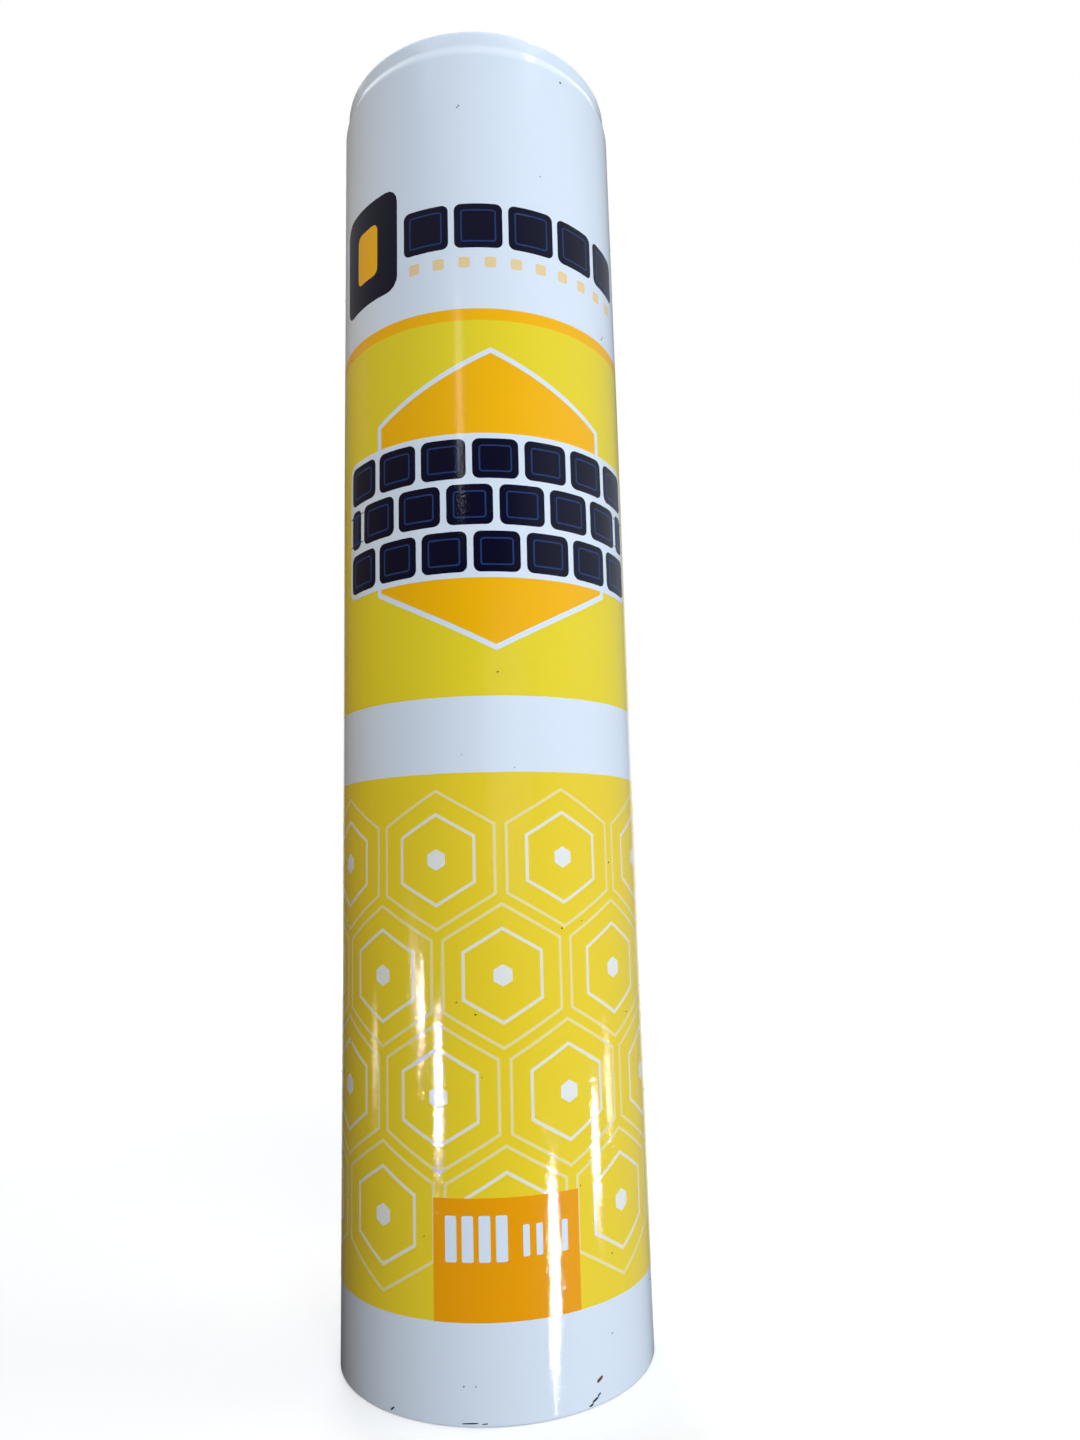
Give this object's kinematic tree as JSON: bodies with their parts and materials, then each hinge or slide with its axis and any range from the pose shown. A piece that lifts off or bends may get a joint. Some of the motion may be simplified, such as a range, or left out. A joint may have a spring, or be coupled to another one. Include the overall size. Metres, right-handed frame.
{
  "type": "caulk cartridge",
  "caption": "Plastic caulk cartridge for a skeleton gun: printed tube with a closed threaded spout, a lipped piston inside and its fill of sealant.",
  "frame": {"origin": "centre of the open rear rim, on which the cartridge stands", "axes": "+Z along the barrel to the spout, -Y towards the front of the printed face"},
  "size_m": [0.0494, 0.0494, 0.233],
  "materials": {
    "barrel_plastic": "glossy white HDPE, screen printed",
    "piston_plastic": "matte natural polyethylene",
    "sealant_paste": "smooth white paste"
  },
  "bodies": {
    "barrel": {"barrel": "barrel_plastic", "sealant": "sealant_paste"},
    "piston": {"piston": "piston_plastic"}
  },
  "joints": [
    {"name": "piston_travel", "type": "slide", "parent": "barrel", "child": "piston", "axis": [0, 0, 1], "range_m": [0, 0.1712], "deforming": ["sealant"]}
  ]
}
